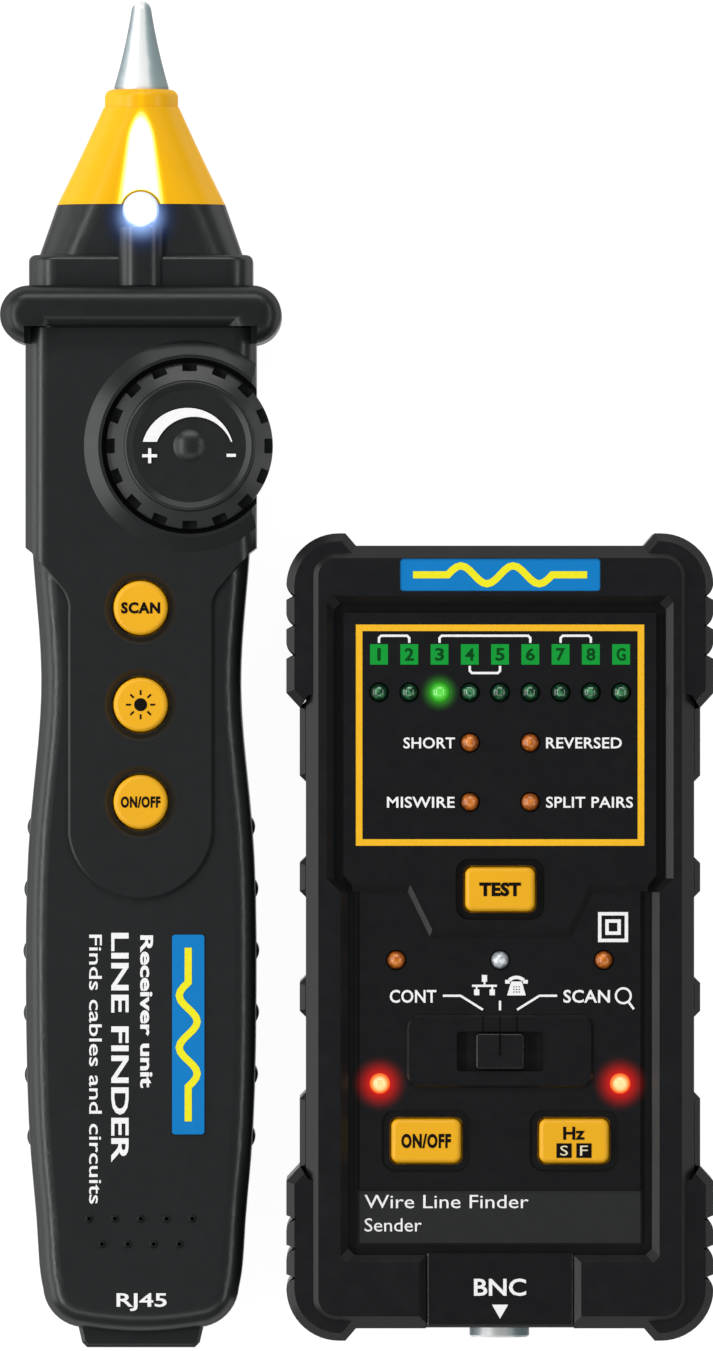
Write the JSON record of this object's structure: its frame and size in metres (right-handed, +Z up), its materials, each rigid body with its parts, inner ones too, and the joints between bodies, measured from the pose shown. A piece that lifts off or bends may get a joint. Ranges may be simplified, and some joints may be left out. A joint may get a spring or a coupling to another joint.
{
  "type": "circuit breaker finder",
  "caption": "Two-piece wire and circuit tracing set: a probe receiver with a metal tip and notched knob, and a holstered transmitter with lamps, keys and sockets.",
  "frame": {"origin": "centre of the set's footprint on the surface that both units lie on", "axes": "+X to the right across both units, +Y along them towards the probe's tip, +Z up out of their front faces"},
  "size_m": [0.115, 0.2176, 0.032],
  "materials": {
    "receiver_black": "fine-grained satin moulded ABS",
    "collar_rubber": "smooth soft elastomer",
    "cone_yellow": "smooth moulded",
    "tip_metal": "polished nickel plate",
    "spring_steel": "drawn wire",
    "lamp_white": "clear to milky lamp, lit white",
    "knob_black": "satin moulded",
    "button_yellow": "satin moulded",
    "inner_black": "moulded",
    "inner_metal": "plated",
    "board_green": "solder mask",
    "contact_gold": "gold plate",
    "jack_grey": "moulded",
    "cable_grey": "ribbon insulation",
    "speaker_grey": "moulded",
    "battery_shell": "printed can",
    "snap_black": "soft vinyl",
    "badge_blue": "printed badge",
    "holster_rubber": "soft, slightly matt",
    "case_black": "fine-grained moulded ABS",
    "panel_black": "fine-grained satin overlay",
    "led_green": "tinted epoxy",
    "led_amber": "tinted epoxy",
    "led_red": "tinted epoxy, lit",
    "led_clear": "water-clear epoxy",
    "spacer_nylon": "nylon",
    "bnc_nickel": "nickel plate",
    "bnc_insulator_white": "PTFE",
    "screw_steel": "black-zinc screws"
  },
  "bodies": {
    "transmitter": {"protective_holster": "holster_rubber", "transmitter_front_case": "case_black", "transmitter_rear_case": "case_black", "indicator_panel": "panel_black", "switch_plate": "panel_black", "mode_switch_body": "inner_metal", "transmitter_switches": "inner_metal", "green_leds": "led_green", "amber_leds": "led_amber", "red_leds": "led_red", "clear_led": "led_clear", "led_spacers": "spacer_nylon", "transmitter_circuit_board": "board_green", "bnc_shell": "bnc_nickel", "bnc_insulator": "bnc_insulator_white", "bnc_centre_contact": "contact_gold", "bnc_nut": "bnc_nickel", "line_jack_housings": "jack_grey", "line_jack_contacts": "contact_gold", "buzzer": "speaker_grey", "transmitter_battery": "battery_shell", "transmitter_battery_snap": "snap_black", "transmitter_case_screws": "screw_steel", "transmitter_badge": "badge_blue"},
    "receiver": {"receiver_front_shell": "receiver_black", "receiver_rear_shell": "receiver_black", "collar_ring": "collar_rubber", "nose_cone": "cone_yellow", "probe_tip": "tip_metal", "tip_contact_spring": "spring_steel", "lamp_led": "lamp_white", "potentiometer_body": "inner_metal", "receiver_switches": "inner_metal", "receiver_circuit_board": "board_green", "receiver_jack_housing": "jack_grey", "receiver_jack_contacts": "contact_gold", "receiver_ribbon_cable": "cable_grey", "speaker": "speaker_grey", "receiver_battery": "battery_shell", "receiver_battery_snap": "snap_black", "receiver_case_screws": "screw_steel", "receiver_badge": "badge_blue"},
    "receiver_door": {"receiver_battery_door": "receiver_black"},
    "knob": {"sensitivity_knob": "knob_black", "potentiometer_shaft": "inner_metal"},
    "scan_key": {"scan_button": "button_yellow", "scan_plunger": "inner_black"},
    "lamp_key": {"lamp_button": "button_yellow", "lamp_plunger": "inner_black"},
    "receiver_power_key": {"receiver_power_button": "button_yellow", "receiver_power_plunger": "inner_black"},
    "transmitter_door": {"transmitter_battery_door": "case_black"},
    "mode_slider": {"mode_switch_cap": "knob_black", "mode_switch_actuator": "inner_black"},
    "test_key": {"test_button": "button_yellow", "test_plunger": "inner_black"},
    "transmitter_power_key": {"transmitter_power_button": "button_yellow", "transmitter_power_plunger": "inner_black"},
    "tone_key": {"tone_button": "button_yellow", "tone_plunger": "inner_black"}
  },
  "joints": [
    {"name": "receiver_lift", "type": "slide", "parent": "transmitter", "child": "receiver", "axis": [0, 0, 1], "range_m": [0, 0.06]},
    {"name": "sensitivity_knob_turn", "type": "hinge", "parent": "receiver", "child": "knob", "pos_m": [-0.0269, 0.0367, 0.026], "axis": [0, 0, 1], "range_deg": [-150, 150]},
    {"name": "scan_button_press", "type": "slide", "parent": "receiver", "child": "scan_key", "axis": [0, 0, -1], "range_m": [0, 0.0005], "stiffness_N_per_m": 400, "springref_m": -0.0005},
    {"name": "lamp_button_press", "type": "slide", "parent": "receiver", "child": "lamp_key", "axis": [0, 0, -1], "range_m": [0, 0.0005], "stiffness_N_per_m": 400, "springref_m": -0.0005},
    {"name": "receiver_power_press", "type": "slide", "parent": "receiver", "child": "receiver_power_key", "axis": [0, 0, -1], "range_m": [0, 0.0005], "stiffness_N_per_m": 400, "springref_m": -0.0005},
    {"name": "receiver_door_slide", "type": "slide", "parent": "receiver", "child": "receiver_door", "axis": [0, -1, 0], "range_m": [0, 0.088]},
    {"name": "transmitter_door_slide", "type": "slide", "parent": "transmitter", "child": "transmitter_door", "axis": [0, -1, 0], "range_m": [0, 0.09]},
    {"name": "mode_switch_slide", "type": "slide", "parent": "transmitter", "child": "mode_slider", "axis": [1, 0, 0], "range_m": [-0.00274, 0.00274]},
    {"name": "test_button_press", "type": "slide", "parent": "transmitter", "child": "test_key", "axis": [0, 0, -1], "range_m": [0, 0.0005], "stiffness_N_per_m": 400, "springref_m": -0.0005},
    {"name": "transmitter_power_press", "type": "slide", "parent": "transmitter", "child": "transmitter_power_key", "axis": [0, 0, -1], "range_m": [0, 0.0005], "stiffness_N_per_m": 400, "springref_m": -0.0005},
    {"name": "tone_button_press", "type": "slide", "parent": "transmitter", "child": "tone_key", "axis": [0, 0, -1], "range_m": [0, 0.0005], "stiffness_N_per_m": 400, "springref_m": -0.0005}
  ]
}
